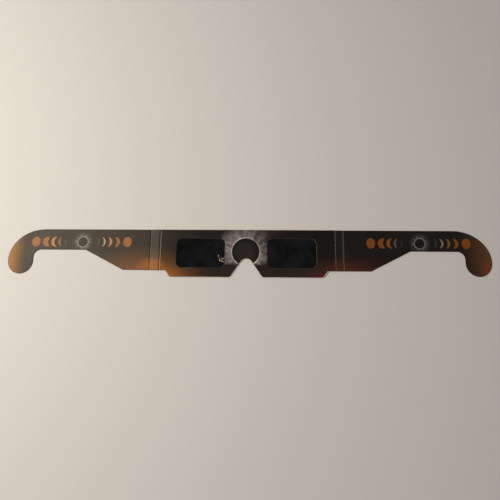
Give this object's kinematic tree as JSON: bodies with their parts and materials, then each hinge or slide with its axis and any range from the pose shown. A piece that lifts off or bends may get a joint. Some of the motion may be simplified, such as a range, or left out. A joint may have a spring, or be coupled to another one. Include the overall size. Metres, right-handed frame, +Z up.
{
  "type": "eclipse glasses",
  "caption": "Flat folding card eclipse glasses: window frame with nose notch, dark filter films, paired scored creases and long temple arms ending in ear hooks.",
  "frame": {"origin": "on the resting plane, under the middle of the overall box", "axes": "+X to the right along the arms as seen from the printed face, +Y towards the straight top edge, +Z up out of the printed face; the part lies unfolded on its back"},
  "size_m": [0.3826, 0.038, 0.001],
  "materials": {
    "printed_card": "Solid bleached board, printed black to orange under a semi-gloss varnish.",
    "creased_card": "The same printed board, stretched and slightly rubbed between two scored creases.",
    "liner_card": "Plain uncoated grey-white board.",
    "filter_film": "Opaque black solar filter film, glossy and faintly wavy.",
    "adhesive": "Dried clear-white laminating glue."
  },
  "bodies": {
    "frame": {"front_panel": "printed_card", "back_liner": "liner_card", "adhesive_layer": "adhesive", "left_filter_film": "filter_film", "right_filter_film": "filter_film"},
    "left_strip": {"left_crease_strip": "creased_card"},
    "left_arm": {"left_temple_arm": "printed_card"},
    "right_strip": {"right_crease_strip": "creased_card"},
    "right_arm": {"right_temple_arm": "printed_card"}
  },
  "joints": [
    {"name": "left_inner_crease", "type": "hinge", "parent": "frame", "child": "left_strip", "pos_m": [-0.0688, 0.00252, 0.00077], "axis": [0, -1, 0], "range_deg": [-90, 90]},
    {"name": "left_outer_crease", "type": "hinge", "parent": "left_strip", "child": "left_arm", "pos_m": [-0.0766, 0.00252, 0.00077], "axis": [0, -1, 0], "range_deg": [-90, 90]},
    {"name": "right_inner_crease", "type": "hinge", "parent": "frame", "child": "right_strip", "pos_m": [0.0702, 0.00252, 0.00077], "axis": [0, 1, 0], "range_deg": [-90, 90]},
    {"name": "right_outer_crease", "type": "hinge", "parent": "right_strip", "child": "right_arm", "pos_m": [0.0766, 0.00252, 0.00077], "axis": [0, 1, 0], "range_deg": [-90, 90]}
  ]
}
